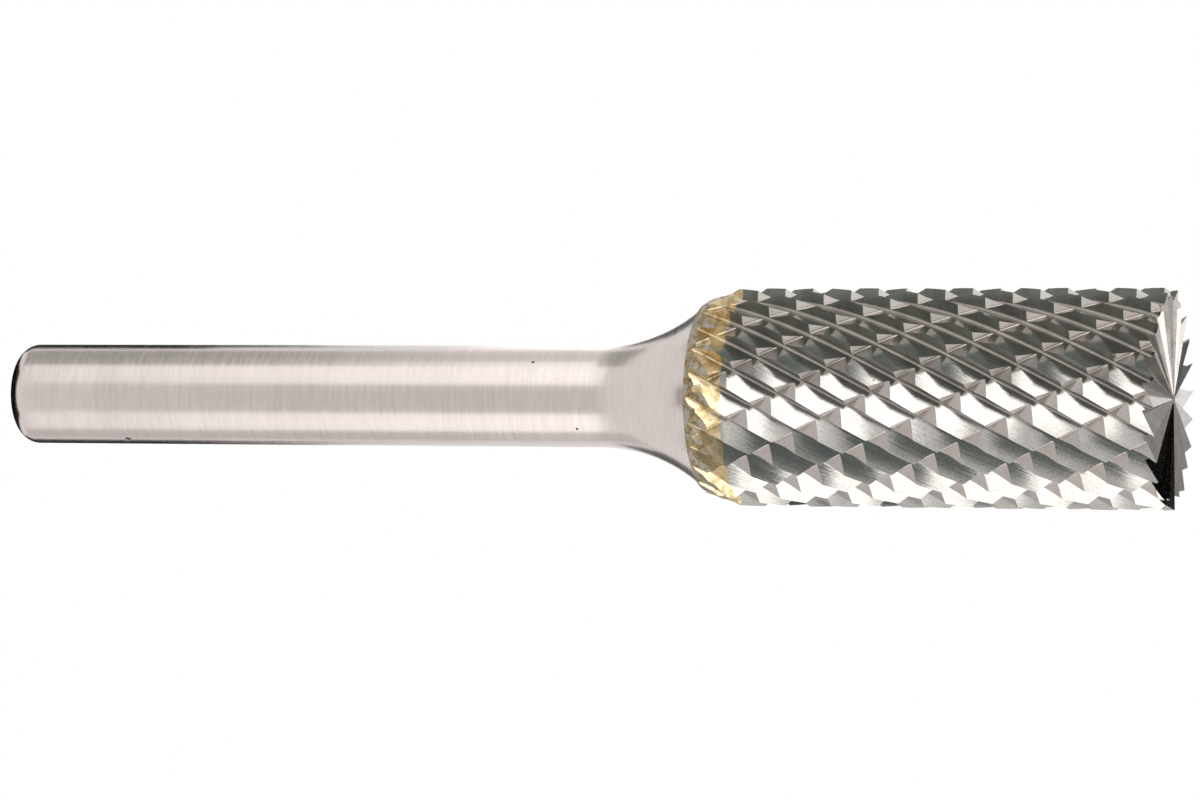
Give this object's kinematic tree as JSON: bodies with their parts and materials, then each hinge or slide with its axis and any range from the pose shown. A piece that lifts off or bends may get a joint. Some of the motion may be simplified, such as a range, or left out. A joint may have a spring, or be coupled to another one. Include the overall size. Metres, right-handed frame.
{
  "type": "carbide burr",
  "caption": "Cylindrical double-cut carbide burr with end teeth, brazed to a round steel shank with a flared neck.",
  "frame": {"origin": "centre of the end face, on the surface that the end teeth stand on", "axes": "+Z along the axis from the end teeth to the free end of the shank; +X and +Y across it"},
  "size_m": [0.0126, 0.0126, 0.0709],
  "materials": {
    "ground_steel": "fine ground steel with faint marks round the shank",
    "braze_filler": "brazing filler, rough where it has run and bright where the flutes cut it",
    "tungsten_carbide": "bright ground tungsten carbide"
  },
  "bodies": {
    "root": {"shank": "ground_steel", "braze_joint": "braze_filler", "cutting_head": "tungsten_carbide"}
  },
  "joints": []
}
